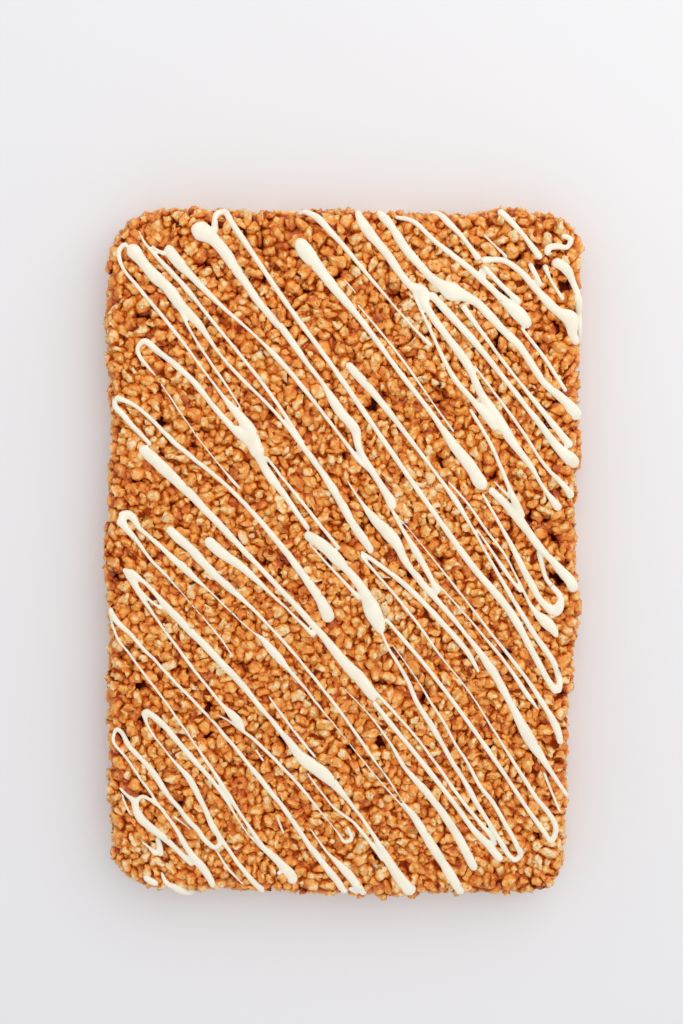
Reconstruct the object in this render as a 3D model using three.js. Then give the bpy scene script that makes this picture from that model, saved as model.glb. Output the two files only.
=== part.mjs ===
// A rice crispy treat: one uncut slab of puffed rice bound with caramel and marshmallow, pressed in a 9 by
// 13 inch pan, turned out whole and drizzled with white chocolate. The slab is one solid. Its skin carries
// a bump for each puffed grain that shows, and the thick legs of the drizzle are ridges that are fused to
// it. Millimetres, +Z up, the slab lying flat on z = 0.
import * as THREE from 'three';

// The slab, as wide and long as the pan that it was pressed in. Its foot is a ring of evenly spaced points,
// and the rest of the skin keeps clear of it.
const SLAB = { width: 221, length: 326.5, height: 24, shoulderRadius: 7 };
const FOOT = { pitch: 5.5, clear: 3.3, lift: 0.8 };

// Each corner filled the pan's corner more or less well. Left is -X, right is +X, near is -Y and far is +Y.
const CORNER_RADIUS = { farRight: 16, farLeft: 25, nearLeft: 23, nearRight: 17 };

// Where the sides swelled past the straight when the slab was lifted out: at which place along the side,
// how far along it to either hand, and how far out. The swelling is lost towards the slab's middle by the
// given power.
const BULGES = [
  { side: 'right', at: -24, reach: 22, out: 4 },
  { side: 'right', at: 60, reach: 45, out: 1 },
  { side: 'left', at: 107, reach: 20, out: 1.8 },
  { side: 'left', at: -1, reach: 22, out: 1.8 },
  { side: 'far', at: 77, reach: 12, out: 2.5 },
  { side: 'near', at: 12, reach: 48, out: 2.2 },
];
const BULGE_POWER = 4;

// Slow waves in the pressed top: how high they are, and how long.
const SWELL = { height: 0.7, length: 170, phaseX: 3, phaseY: 1 };

// A puffed grain is about 6.5 mm long and 4 mm wide. One bump stands for each that shows, so bumps are a
// grain's length apart, and every third point of the skin is the top of a bump.
const GRAIN = { pitch: 7.7, proud: 1.5, sunk: 1.3, scatter: 0.8, rough: 0.5 };

// The poured drizzle: how high a leg stands over the grains, and how much more for each millimetre of its
// width, how far apart its sections are, how wide its apron is, how much clear skin is kept beside that,
// and how close two points may be.
const DRIZZLE = { rise: 0.8, sectionPitch: 7, crown: 0.22, apron: 0.7, clear: 1.3, closest: 2.0 };

// The drizzle was poured a little askew of the slab, by this turn in degrees and this shift along x and y.
const POUR = { turn: 1.4, shift: [0.7, 1] };

// Each leg of the drizzle runs from one place on the top to another, before that turn. Its middle bows to
// the left of its way by bow, and its width is given at its start, its middle and its end.
const LEGS = [
  { from: [-107, -110], to: [-64, -160], bow: -5, width: [3.5, 5, 4] },
  { from: [-110, -81], to: [-64, -140], bow: 1, width: [3.5, 3.5, 3] },
  { from: [-95, -72], to: [-25, -157], bow: -1, width: [4.5, 3.5, 8] },
  { from: [-78, -102], to: [-61, -139], bow: 2, width: [3, 4.5, 4.5] },
  { from: [-111, -19], to: [2, -164], bow: 1, width: [3.5, 3, 4.5] },
  { from: [-101, -7], to: [-27, -90], bow: 1, width: [5.5, 4.5, 4] },
  { from: [-27, -90], to: [35, -166], bow: 1, width: [6, 4.5, 8] },
  { from: [-102, -8], to: [-49, -80], bow: -2, width: [4.5, 3, 5] },
  { from: [-104, 20], to: [-28, -51], bow: 1, width: [5, 3.2, 4.5] },
  { from: [-81, 14], to: [0, -76], bow: 2, width: [5.5, 4.5, 3] },
  { from: [29, -121], to: [56, -165], bow: 1, width: [4, 6, 5.5] },
  { from: [-64, 10], to: [-12, -42], bow: 0, width: [6.5, 3.2, 3] },
  { from: [-94, 53], to: [13, -64], bow: 1, width: [7, 4.5, 8] },
  { from: [14, -66], to: [76, -148], bow: 0, width: [3.5, 3.2, 6.5] },
  { from: [-107, 77], to: [-4, -30], bow: 1, width: [5, 3.4, 6.5] },
  { from: [-107, 75], to: [-90, 55], bow: 0, width: [4.5, 3.5, 3] },
  { from: [-95, 103], to: [-47, 62], bow: 2, width: [4.2, 3.8, 6] },
  { from: [-99, 133], to: [-40, 53], bow: 1, width: [2.8, 3.2, 9] },
  { from: [-38, 50], to: [-17, 13], bow: 2, width: [5.5, 4.5, 3.5] },
  { from: [-99, 147], to: [-38, 77], bow: 2, width: [7.5, 5, 3] },
  { from: [-38, 77], to: [14, 4], bow: 1, width: [3.2, 3.6, 6] },
  { from: [-80, 145], to: [6, 50], bow: -1, width: [6, 3, 3] },
  { from: [-66, 155], to: [-6, 76], bow: 2, width: [8, 4.5, 3.5] },
  { from: [-2, 72], to: [23, 25], bow: 3, width: [5, 4, 5.5] },
  { from: [-54, 160], to: [25, 49], bow: 1, width: [4.5, 3.2, 3.2] },
  { from: [25, 49], to: [101, -63], bow: 2, width: [3.2, 3.8, 5] },
  { from: [-17, 11], to: [17, -31], bow: 1, width: [4.5, 6, 9] },
  { from: [-20, 148], to: [38, 76], bow: -1, width: [7.5, 4, 3] },
  { from: [44, 68], to: [67, 33], bow: 1, width: [3, 6, 8] },
  { from: [69, 33], to: [103, -26], bow: 3, width: [4.5, 5.5, 5] },
  { from: [-14, 161], to: [33, 113], bow: 1, width: [4.5, 4, 3] },
  { from: [35, 111], to: [76, 59], bow: -1, width: [3, 4.5, 8] },
  { from: [78, 56], to: [102, 24], bow: 1, width: [4.5, 3.5, 5.5] },
  { from: [9, 157], to: [38, 122], bow: 1, width: [6.5, 5, 8] },
  { from: [41, 123], to: [104, 54], bow: 0, width: [6, 4, 4] },
  { from: [20, 161], to: [56, 121], bow: 0, width: [5.5, 5, 7] },
  { from: [50, 129], to: [109, 68], bow: -1, width: [6, 5, 6] },
  { from: [28, 160], to: [87, 109], bow: 1, width: [3.5, 4, 7] },
  { from: [44, 161], to: [67, 137], bow: 2, width: [3.5, 4, 5] },
  { from: [69, 141], to: [105, 112], bow: 5, width: [3.2, 4.5, 8] },
  { from: [66, 162], to: [94, 139], bow: 4, width: [3, 4, 4.5] },
];

// A repeatable draw from 0 to 1, so that the same slab is made each time: a linear congruential generator.
const SEED = 20;
const LCG = { multiplier: 1664525, increment: 1013904223, modulus: 2 ** 32 };

function drawer(seed) {
  let state = seed;
  return () => {
    state = (state * LCG.multiplier + LCG.increment) % LCG.modulus;
    return state / LCG.modulus;
  };
}
const draw = drawer(SEED);
const spread = (amount) => (draw() * 2 - 1) * amount;

// The skin is laid out flat first: the top in the middle, with the shoulder and the wall unrolled around
// it. Past is how far a flat point lies beyond the level top, where the shoulder starts to bend.
const bendLength = (Math.PI / 2) * SLAB.shoulderRadius;
const wallHeight = SLAB.height - SLAB.shoulderRadius;
const fullPast = bendLength + wallHeight;
const half = { x: SLAB.width / 2, y: SLAB.length / 2 };

function cornerRadiusAt({ x, y }) {
  if (y > 0) return x > 0 ? CORNER_RADIUS.farRight : CORNER_RADIUS.farLeft;
  return x > 0 ? CORNER_RADIUS.nearRight : CORNER_RADIUS.nearLeft;
}

function wayOut(point) {
  const radius = cornerRadiusAt(point);
  const near = new THREE.Vector2(
    THREE.MathUtils.clamp(point.x, radius - half.x, half.x - radius),
    THREE.MathUtils.clamp(point.y, radius - half.y, half.y - radius),
  );
  const away = point.clone().sub(near);
  const reach = away.length();
  const outward = reach > 0 ? away.divideScalar(reach) : new THREE.Vector2(0, 0);
  const level = radius - SLAB.shoulderRadius;
  return { near, outward, level, reach, past: reach - level };
}

// A folded point is moved by the swellings of the sides and by the slow waves of the top.
function settle({ x, y, z }) {
  const moved = new THREE.Vector3(x, y, z);
  for (const { side, at, reach, out } of BULGES) {
    const axis = side === 'left' || side === 'right' ? 'x' : 'y';
    const along = axis === 'x' ? y : x;
    const sign = side === 'left' || side === 'near' ? -1 : 1;
    const share = Math.max(0, (sign * (axis === 'x' ? x : y)) / half[axis]) ** BULGE_POWER;
    moved[axis] += sign * out * share * Math.exp(-(((along - at) / reach) ** 2));
  }
  const wave = (place, phase) => Math.sin((place / SWELL.length) * Math.PI * 2 + phase);
  moved.z += (z / SLAB.height) * SWELL.height * wave(x, SWELL.phaseX) * wave(y, SWELL.phaseY);
  return moved;
}

// Folds a flat point down over the shoulder and the wall, and lifts it off the skin by height.
function fold(point, height) {
  const { near, outward, level, reach, past } = wayOut(point);
  const turn = THREE.MathUtils.clamp(past / SLAB.shoulderRadius, 0, Math.PI / 2);
  const run = Math.min(reach, level) + SLAB.shoulderRadius * Math.sin(turn);
  const drop = SLAB.shoulderRadius * (1 - Math.cos(turn)) + Math.max(0, past - bendLength);
  const out = run + height * Math.sin(turn);
  return new THREE.Vector3(
    near.x + outward.x * out,
    near.y + outward.y * out,
    SLAB.height - drop + height * Math.cos(turn),
  );
}

// The foot of the slab is one ring of points, evenly spaced round the unrolled outline.
function footRing() {
  const outline = new THREE.Path();
  const quarter = Math.PI / 2;
  [CORNER_RADIUS.farRight, CORNER_RADIUS.farLeft, CORNER_RADIUS.nearLeft, CORNER_RADIUS.nearRight].forEach(
    (radius, turns) => {
      const signX = turns === 0 || turns === 3 ? 1 : -1;
      const signY = turns < 2 ? 1 : -1;
      const arcRadius = radius - SLAB.shoulderRadius + fullPast;
      const start = quarter * turns;
      outline.absarc(signX * (half.x - radius), signY * (half.y - radius), arcRadius, start, start + quarter);
    },
  );
  outline.closePath();
  const count = Math.round(outline.getLength() / FOOT.pitch);
  return outline.getSpacedPoints(count).slice(0, count);
}

function poured([x, y]) {
  const turned = new THREE.Vector2(x, y).rotateAround(new THREE.Vector2(), THREE.MathUtils.degToRad(POUR.turn));
  return turned.add(new THREE.Vector2(...POUR.shift));
}

// Sections across a leg, each with a point on the ridge and one at either foot of it.
function sectionsOf(leg) {
  const start = poured(leg.from);
  const end = poured(leg.to);
  const way = end.clone().sub(start).normalize();
  const left = new THREE.Vector2(-way.y, way.x);
  const middle = start.clone().lerp(end, 0.5).addScaledVector(left, leg.bow);
  const line = new THREE.SplineCurve([start, middle, end]);
  const widths = new THREE.SplineCurve(leg.width.map((w, i) => new THREE.Vector2(i, w)));
  const count = Math.max(2, Math.round(line.getLength() / DRIZZLE.sectionPitch));
  return Array.from({ length: count + 1 }, (_, i) => {
    const at = line.getPointAt(i / count);
    const tangent = line.getTangentAt(i / count);
    return { at, side: new THREE.Vector2(-tangent.y, tangent.x), width: widths.getPoint(i / count).y };
  });
}

// Every point of the flat skin, with its height over the mean surface.
function skinPoints() {
  const ring = footRing();
  const points = ring.map((at) => ({ at, height: spread(GRAIN.rough), foot: true }));
  const legs = LEGS.map(sectionsOf);
  const sections = legs.flat();
  const tooNear = (at, gap) => points.some((p) => p.at.distanceTo(at) < gap);

  for (const { at, width } of sections) {
    if (!tooNear(at, DRIZZLE.closest)) {
      points.push({ at, height: GRAIN.proud + DRIZZLE.rise + width * DRIZZLE.crown });
    }
  }
  for (const { at, side, width } of sections) {
    for (const hand of [-1, 1]) {
      const foot = at.clone().addScaledVector(side, hand * (width / 2 + DRIZZLE.apron));
      if (!tooNear(foot, DRIZZLE.closest)) {
        points.push({ at: foot, height: spread(GRAIN.rough) });
      }
    }
  }

  // The grains: a staggered lattice, every third point of which is the top of a bump.
  const step = GRAIN.pitch / Math.sqrt(3);
  const rowPitch = (step * Math.sqrt(3)) / 2;
  const columns = Math.ceil((half.x + fullPast) / step) + 1;
  const rows = Math.ceil((half.y + fullPast) / rowPitch);
  for (let row = -rows; row <= rows; row += 1) {
    const shift = (Math.abs(row) % 2) * 0.5;
    for (let column = -columns; column <= columns; column += 1) {
      const slant = column - (row - Math.abs(row % 2)) / 2 - row;
      const bump = slant % 3 === 0;
      const x = (column + shift) * step + spread(GRAIN.scatter);
      const y = row * rowPitch + spread(GRAIN.scatter);
      const at = new THREE.Vector2(x, y);
      const height = (bump ? GRAIN.proud : -GRAIN.sunk) + spread(GRAIN.rough);
      if (wayOut(at).past > fullPast - FOOT.clear) continue;
      const covered = sections.some((s) => s.at.distanceTo(at) < s.width / 2 + DRIZZLE.clear + DRIZZLE.apron);
      if (!covered && !tooNear(at, DRIZZLE.closest)) points.push({ at, height });
    }
  }
  return { points, ringCount: ring.length };
}

// Delaunay triangles of flat points, added one at a time from left to right.
function triangulate(flat) {
  const far = 1e5;
  const count = flat.length;
  const all = [...flat, new THREE.Vector2(-far, -far), new THREE.Vector2(far, -far), new THREE.Vector2(0, far)];
  const circled = (a, b, c) => {
    const [p, q, r] = [all[a], all[b], all[c]];
    const twice = 2 * ((q.x - p.x) * (r.y - p.y) - (q.y - p.y) * (r.x - p.x));
    const q2 = (q.x - p.x) ** 2 + (q.y - p.y) ** 2;
    const r2 = (r.x - p.x) ** 2 + (r.y - p.y) ** 2;
    const x = ((r.y - p.y) * q2 - (q.y - p.y) * r2) / twice;
    const y = ((q.x - p.x) * r2 - (r.x - p.x) * q2) / twice;
    return { corners: [a, b, c], x: p.x + x, y: p.y + y, radiusSquared: x * x + y * y };
  };
  const order = flat.map((_, i) => i).sort((i, j) => flat[i].x - flat[j].x);
  const settled = [];
  let open = [circled(count, count + 1, count + 2)];
  for (const i of order) {
    const edges = new Map();
    const kept = [];
    for (const triangle of open) {
      const dx = all[i].x - triangle.x;
      const dy = all[i].y - triangle.y;
      if (dx > 0 && dx * dx > triangle.radiusSquared) {
        settled.push(triangle);
      } else if (dx * dx + dy * dy > triangle.radiusSquared) {
        kept.push(triangle);
      } else {
        triangle.corners.forEach((from, k) => {
          const to = triangle.corners[(k + 1) % 3];
          const key = Math.min(from, to) * (count + 3) + Math.max(from, to);
          if (!edges.delete(key)) edges.set(key, [from, to]);
        });
      }
    }
    open = kept;
    for (const [from, to] of edges.values()) open.push(circled(from, to, i));
  }
  return [...settled, ...open].map((t) => t.corners).filter((corners) => corners.every((c) => c < count));
}

// The whole slab: the folded skin, closed underneath by a flat face inside the foot ring.
function slabGeometry() {
  const { points, ringCount } = skinPoints();
  const isFoot = (i) => i < ringCount;
  const skin = triangulate(points.map((p) => p.at)).filter((corners) => !corners.every(isFoot));
  const folded = points.map((p) => {
    const place = settle(fold(p.at, p.height));
    return place.setZ(p.foot ? 0 : Math.max(place.z, FOOT.lift));
  });
  const ring = folded.slice(0, ringCount).map((p) => new THREE.Vector2(p.x, p.y));
  const base = THREE.ShapeUtils.triangulateShape(ring, []).map(([a, b, c]) => [a, c, b]);
  const geometry = new THREE.BufferGeometry().setFromPoints(folded);
  geometry.setIndex([...skin, ...base].flat());
  geometry.computeBoundingBox();
  const middle = geometry.boundingBox.getCenter(new THREE.Vector3());
  geometry.translate(-middle.x, -middle.y, 0);
  geometry.computeVertexNormals();
  return geometry;
}

const glazedRice = new THREE.MeshStandardMaterial({ color: 0xcf8040, roughness: 0.45, metalness: 0 });

const treat = new THREE.Group();
const slab = new THREE.Mesh(slabGeometry(), glazedRice);
slab.name = 'treat_slab';
treat.add(slab);

export default treat;
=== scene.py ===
# A rice crispy treat: one uncut slab of caramel-coated puffed rice with a poured drizzle of white chocolate.
# It lies flat on z = 0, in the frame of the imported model: metres, +Z up, its length along Y. The grains and
# the drizzle are laid out in millimetres, and scaled by MM to become meshes.
import itertools
import math

import bpy
import numpy as np
from mathutils import Matrix, Vector
from mathutils.bvhtree import BVHTree
from mathutils.kdtree import KDTree


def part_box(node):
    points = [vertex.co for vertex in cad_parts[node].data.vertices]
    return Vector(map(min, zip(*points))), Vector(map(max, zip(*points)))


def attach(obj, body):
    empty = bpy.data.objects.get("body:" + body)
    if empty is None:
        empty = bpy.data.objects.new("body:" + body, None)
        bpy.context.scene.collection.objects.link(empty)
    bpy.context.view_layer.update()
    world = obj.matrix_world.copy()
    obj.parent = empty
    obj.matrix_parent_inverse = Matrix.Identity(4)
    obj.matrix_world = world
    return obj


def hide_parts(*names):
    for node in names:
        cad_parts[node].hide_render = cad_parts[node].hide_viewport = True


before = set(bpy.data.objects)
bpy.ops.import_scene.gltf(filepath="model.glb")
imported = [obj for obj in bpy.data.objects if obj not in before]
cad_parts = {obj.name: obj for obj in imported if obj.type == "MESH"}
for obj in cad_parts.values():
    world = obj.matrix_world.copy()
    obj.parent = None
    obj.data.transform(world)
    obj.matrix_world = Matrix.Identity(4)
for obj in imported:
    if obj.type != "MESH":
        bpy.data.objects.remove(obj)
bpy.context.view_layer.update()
slab_low, slab_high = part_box("treat_slab")
bpy.ops.object.select_all(action="DESELECT")
MM = 0.001


# The camera stands almost straight over the slab and leans a little towards its near end. Its distance, lean
# and turn were worked out from where the slab's edges fall in the photograph.
CAMERA_LENS = 50
CAMERA_SENSOR = 36
CAMERA_NEAREST = 0.01
CAMERA_DISTANCE = 697 * MM
CAMERA_LEAN = math.radians(5.6)
CAMERA_TURN = math.radians(0.7)
CAMERA_AIM = Vector((-1.1, 21.1, 0)) * MM

camera_turning = Matrix.Rotation(-CAMERA_LEAN, 4, "X") @ Matrix.Rotation(CAMERA_TURN, 4, "Z")
camera_back = camera_turning.to_3x3() @ Vector((0, 0, 1))
bpy.ops.object.camera_add()
camera = bpy.context.object
camera.name = "photo_camera"
camera.data.lens = CAMERA_LENS
camera.data.sensor_width = CAMERA_SENSOR
camera.data.clip_start = CAMERA_NEAREST
camera.matrix_world = Matrix.Translation(CAMERA_AIM + camera_back * CAMERA_DISTANCE) @ camera_turning
bpy.context.scene.camera = camera


# The pressed shell: the space near the slab's skin that the puffed grains fill. A pan's straight sides and
# flat floor bound it, and a hand pressed the top level, with rounded shoulders. The sides bulge out here and
# there, so the middle of the whole slab isn't the middle of its straight sides.
LEG_HEIGHT = 3.1
SHELL_HALF = np.array([110.8, 163.5])
SHELL_TOP = (slab_high.z - slab_low.z) / MM - LEG_HEIGHT
SHELL_CORNERS = np.array([[24, 26], [18, 17]])
SHELL_SHOULDER = 7.5
SHELL_DEPTH = 6.6
SHELL_FLOOR = 3.9
SHELL_MIDDLE = np.array([1.12, -0.16])
TINY = 1e-9

# Where a side bulges: at which place along it, how far along to either hand, and how far out.
BULGES = (
    ("right", -24, 22, 4.0),
    ("right", 60, 45, 1.0),
    ("right", 57, 9, 1.6),
    ("right", 9, 9, 1.2),
    ("right", -20, 11, 1.3),
    ("right", -55, 9, 1.5),
    ("left", 107, 20, 1.8),
    ("left", -1, 22, 2.4),
    ("left", -64, 20, 1.2),
    ("left", -113, 8, 2.2),
    ("far", 77, 12, 3.2),
    ("far", -6, 13, 1.6),
    ("far", -70, 10, 1.1),
    ("near", 12, 48, 2.2),
    ("near", 20, 10, 1.0),
)
BULGE_POWER = 4
SWELL_HEIGHT, SWELL_LENGTH = 0.7, 170
SWELL_PHASES = (3, 1)


def drift(places):
    """How far the bulging sides and the wavy top are moved from the straight-sided shell."""
    moves = np.zeros_like(places)
    for side, at, reach, out in BULGES:
        axis = 0 if side in ("left", "right") else 1
        sign = -1 if side in ("left", "near") else 1
        share = np.maximum(0, sign * places[..., axis] / SHELL_HALF[axis]) ** BULGE_POWER
        moves[..., axis] += sign * out * share * np.exp(-(((places[..., 1 - axis] - at) / reach) ** 2))
    pitch = 2 * np.pi / SWELL_LENGTH
    wave_x, wave_y = [np.sin(places[..., k] * pitch + phase) for k, phase in enumerate(SWELL_PHASES)]
    moves[..., 2] += places[..., 2] / SHELL_TOP * (SWELL_HEIGHT * wave_x * wave_y)
    return moves


def settled(places):
    """Places in the straight-sided shell, moved to where they lie in the real slab."""
    moved = places + drift(places)
    moved[..., :2] -= SHELL_MIDDLE
    return moved


def unsettled(places):
    """Places in the real slab, moved back to the straight-sided shell."""
    straight = places.copy()
    straight[..., :2] += SHELL_MIDDLE
    return straight - drift(straight)


def lengths(vectors):
    return np.maximum(np.linalg.norm(vectors, axis=-1, keepdims=True), TINY)


def skin(places):
    """How far places lie outside the shell's skin, the way out, and how far they lie outside its plan.

    Both distances are less than 0 inside, and the skin is that of the sides and the top.
    """
    flat = places[..., :2]
    corner_radius = SHELL_CORNERS[(flat[..., 0] > 0).astype(int), (flat[..., 1] > 0).astype(int)]
    past = np.abs(flat) - (SHELL_HALF - corner_radius[..., None])
    corner = np.maximum(past, 0)
    reach = np.linalg.norm(corner, axis=-1)
    plan = reach + np.minimum(past.max(axis=-1), 0) - corner_radius
    along_y = (past[..., 1] > past[..., 0]).astype(float)
    nearest = np.stack([1 - along_y, along_y], axis=-1)
    rounded = corner / np.maximum(reach, TINY)[..., None]
    out = np.where(reach[..., None] > 0, rounded, nearest) * np.sign(flat)
    side = plan + SHELL_SHOULDER
    rise = places[..., 2] - (SHELL_TOP - SHELL_SHOULDER)
    over_side, over_rise = np.maximum(side, 0), np.maximum(rise, 0)
    bend = np.hypot(over_side, over_rise)
    on_side = np.where(bend > 0, over_side / np.maximum(bend, TINY), side > rise)
    on_rise = np.where(bend > 0, over_rise / np.maximum(bend, TINY), side <= rise)
    outside = bend + np.minimum(np.maximum(side, rise), 0) - SHELL_SHOULDER
    way = np.concatenate([out * on_side[..., None], on_rise[..., None]], axis=-1)
    return outside, way, plan


# The bed of grains: each is treated as a short capsule. They are dropped into the shell at random, then
# pushed apart and against the pan's walls until they only just touch, as a pressed mix of puffed rice does.
GRAIN_RADIUS = (1.5, 2.6)
GRAIN_STRETCH = (0.4, 2.3)
GRAIN_PROUD = (-1.3, 0.5)
DROP_SPACING = 4.5
DROP_SCATTER = 1.4
DROP_LOWEST = 1.5
DROP_INSET = 0.9
SIDE_INSET = 0.8
FOOT_INSET = 1.0
FOOT_LIFT = 0.6
LYING_FLAT = 0.62
SETTLING_STEPS = 45
STEPS_A_SEARCH = 9
SEARCH_SLACK = 0.8
PUSH_SHARE = 0.28
LONGEST_MOVE = 0.7
MIDDLE_SHARE = 0.5
HEADROOM = 9
DOWN = np.array([0.0, 0, -1])
chance = np.random.default_rng(17)

cells = [np.arange(-limit, limit, DROP_SPACING) for limit in SHELL_HALF]
levels = np.arange(DROP_LOWEST, SHELL_TOP, DROP_SPACING)
seeds = np.stack(np.meshgrid(*cells, levels, indexing="ij"), axis=-1).reshape(-1, 3)
seeds += chance.uniform(-DROP_SCATTER, DROP_SCATTER, seeds.shape)
seed_out, seed_way, seed_plan = skin(seeds)
lifted = seeds[:, 2] > FOOT_LIFT
in_floor = (seeds[:, 2] < SHELL_FLOOR - DROP_INSET) & (seed_plan < -FOOT_INSET) & lifted
in_skin = (seed_out < -SIDE_INSET) & (seed_out > -SHELL_DEPTH + DROP_INSET) & lifted
kept = in_floor | in_skin
seeds, seed_way, on_floor = seeds[kept], seed_way[kept], (in_floor & ~in_skin)[kept]
grain_count = len(seeds)
radius = chance.uniform(*GRAIN_RADIUS, grain_count)
stretch = chance.uniform(*GRAIN_STRETCH, grain_count)
lie = chance.normal(size=(grain_count, 3))
outward = np.where(on_floor[:, None], DOWN, seed_way)
lie -= LYING_FLAT * (lie * outward).sum(1, keepdims=True) * outward
lie /= lengths(lie)
tips =np.stack([seeds - lie * stretch[:, None], seeds + lie * stretch[:, None]], axis=1)
proud = chance.uniform(*GRAIN_PROUD, grain_count)


def search_tree(centres):
    tree = KDTree(len(centres))
    for index, centre in enumerate(centres):
        tree.insert(centre, index)
    tree.balance()
    return tree


def close_pairs(centres, reach):
    """The numbers of all pairs of grains whose middles are close enough that they may touch."""
    tree = search_tree(centres)
    found = [(i, j) for i, c in enumerate(centres) for _, j, _ in tree.find_range(c, reach) if j > i]
    return np.array(found)


def gathered(index, pushes):
    """The sum of the pushes on each grain, where index says which grain each push is on."""
    flat = pushes.reshape(len(pushes), -1)
    sums = [np.bincount(index, flat[:, k], grain_count) for k in range(flat.shape[1])]
    return np.stack(sums, axis=1).reshape(grain_count, *pushes.shape[1:])


for step in range(SETTLING_STEPS):
    if step % STEPS_A_SEARCH == 0:
        pairs = close_pairs(tips.mean(axis=1), 2 * (GRAIN_RADIUS[1] + GRAIN_STRETCH[1]) - SEARCH_SLACK)
        first, second = pairs[:, 0], pairs[:, 1]
    beads = np.stack([tips[:, 0], tips.mean(axis=1), tips[:, 1]], axis=1)
    apart = beads[first][:, :, None] - beads[second][:, None]
    distance = lengths(apart)
    touching = (radius[first] + radius[second])[:, None, None, None]
    push = apart / distance * np.maximum(touching - distance, 0) * PUSH_SHARE
    moves = gathered(first, push.sum(axis=2)) - gathered(second, push.sum(axis=1))
    moves *= np.minimum(1, LONGEST_MOVE / lengths(moves))
    tips += moves[:, [0, 2]] + moves[:, 1:2] * MIDDLE_SHARE
    out, way, _ = skin(tips)
    over = np.maximum(out + (radius - proud)[:, None], 0)
    under = np.where(on_floor[:, None], 0, np.maximum(-SHELL_DEPTH + radius[:, None] - out, 0))
    tips += way * (under - over)[..., None]
    highest = np.where(on_floor[:, None], SHELL_FLOOR, SHELL_TOP + HEADROOM)
    tips[..., 2] = np.clip(tips[..., 2], radius[:, None], highest)
    middle = tips.mean(axis=1)
    lie = tips[:, 1] - tips[:, 0]
    lie /= lengths(lie)
    tips = np.stack([middle - lie * stretch[:, None], middle + lie * stretch[:, None]], axis=1)

outward = np.where(on_floor[:, None], DOWN, skin(middle)[1])
middle = settled(middle)


# The grain shapes: a puffed grain of rice is an oval pillow with blisters and creases all over. Some are
# curled, some burst open at one end, and some broke in half when they were stirred into the caramel. Each
# starts as a blunt ball of radius 1, and its dents and swellings are given in that measure.
GRAIN_BLUNTNESS = 0.15
GRAIN_LENGTH = 1.7
GRAIN_CURL = math.radians(85)
BLISTER_SIZE = 0.8
BLISTER_DEPTH = 0.8
BLISTER_LEVEL = 0.35
PATTERN_STEP = 9
blisters = bpy.data.textures.new("grain_blisters", "VORONOI")
blisters.noise_scale = BLISTER_SIZE


def mode(name):
    bpy.ops.object.mode_set(mode=name)


def apply_modifier(piece, kind, **settings):
    """Finishes the active piece with a modifier of the given kind and settings."""
    modifier = piece.modifiers.new(kind.lower(), kind)
    for setting, value in settings.items():
        setattr(modifier, setting, value)
    bpy.ops.object.modifier_apply(modifier=modifier.name)


def blunt_ball(fineness=3):
    bpy.ops.mesh.primitive_ico_sphere_add(subdivisions=fineness, radius=1)
    ball = bpy.context.object
    apply_modifier(ball, "CAST", cast_type="CUBOID", factor=GRAIN_BLUNTNESS)
    return ball


def pick(shape, wanted):
    """Selects the corners of a shape that are in the wanted place, and stays in edit mode."""
    mode("EDIT")
    bpy.ops.mesh.select_mode(type="VERT")
    bpy.ops.mesh.select_all(action="DESELECT")
    mode("OBJECT")
    for vertex in shape.data.vertices:
        vertex.select = wanted(vertex.co)
    mode("EDIT")


def nudge(shape, wanted, move, soft):
    pick(shape, wanted)
    bpy.ops.transform.translate(value=move, use_proportional_edit=True, proportional_size=soft)
    mode("OBJECT")


def squeeze(shape, wanted, sizes):
    pick(shape, wanted)
    bpy.ops.transform.resize(value=sizes)
    mode("OBJECT")


def everywhere(_):
    return True


def plump(shape):
    squeeze(shape, lambda co: co.x > 0.5, (1, 0.86, 0.86))


def creased(shape):
    nudge(shape, lambda co: co.z > 0.8 and abs(co.y) < 0.3, (0, 0, -0.5), 0.75)
    squeeze(shape, lambda co: co.x < -0.5, (1, 0.8, 0.9))


def curled(shape):
    squeeze(shape, lambda co: abs(co.x) > 0.5, (1.05, 0.82, 0.88))
    apply_modifier(shape, "SIMPLE_DEFORM", deform_method="BEND", deform_axis="Z", angle=GRAIN_CURL)


def burst(shape):
    nudge(shape, lambda co: co.x > 0.9, (-0.75, 0, 0.1), 0.62)
    squeeze(shape, lambda co: co.x > 0.3, (1, 1.16, 1.12))


def lumpy(shape):
    nudge(shape, lambda co: co.y > 0.85 and co.x > 0, (0.1, 0.25, 0.1), 0.7)
    nudge(shape, lambda co: co.z < -0.85, (0, 0, 0.3), 0.8)


def broken(shape):
    pick(shape, everywhere)
    bpy.ops.mesh.bisect(plane_co=(0.35, 0, 0), plane_no=(0.9, 0.2, 0.3), use_fill=True, clear_outer=True)
    bpy.ops.mesh.quads_convert_to_tris()
    mode("OBJECT")


def puffed_grain(dent, puff, seed, triangles):
    """A ball, dented and drawn out, puffed up into pillows with creases between them, and thinned."""
    shape = blunt_ball()
    dent(shape)
    squeeze(shape, everywhere, (GRAIN_LENGTH, 1, 1))
    nudge(shape, everywhere, (PATTERN_STEP * seed, 0, 0), 1)
    strength = -BLISTER_DEPTH * puff
    apply_modifier(shape, "DISPLACE", texture=blisters, strength=strength, mid_level=BLISTER_LEVEL)
    apply_modifier(shape, "DECIMATE", ratio=triangles / len(shape.data.polygons))
    return shape


def shape_arrays(shape):
    """A shape's corners, scaled to reach 1 each way, and its triangles. The modelling object is removed."""
    corners = np.array([vertex.co for vertex in shape.data.vertices])
    corners -= (corners.max(axis=0) + corners.min(axis=0)) / 2
    corners /= np.abs(corners).max(axis=0)
    shape.data.calc_loop_triangles()
    triangles = np.array([triangle.vertices for triangle in shape.data.loop_triangles])
    bpy.data.objects.remove(shape)
    return corners, triangles


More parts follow.
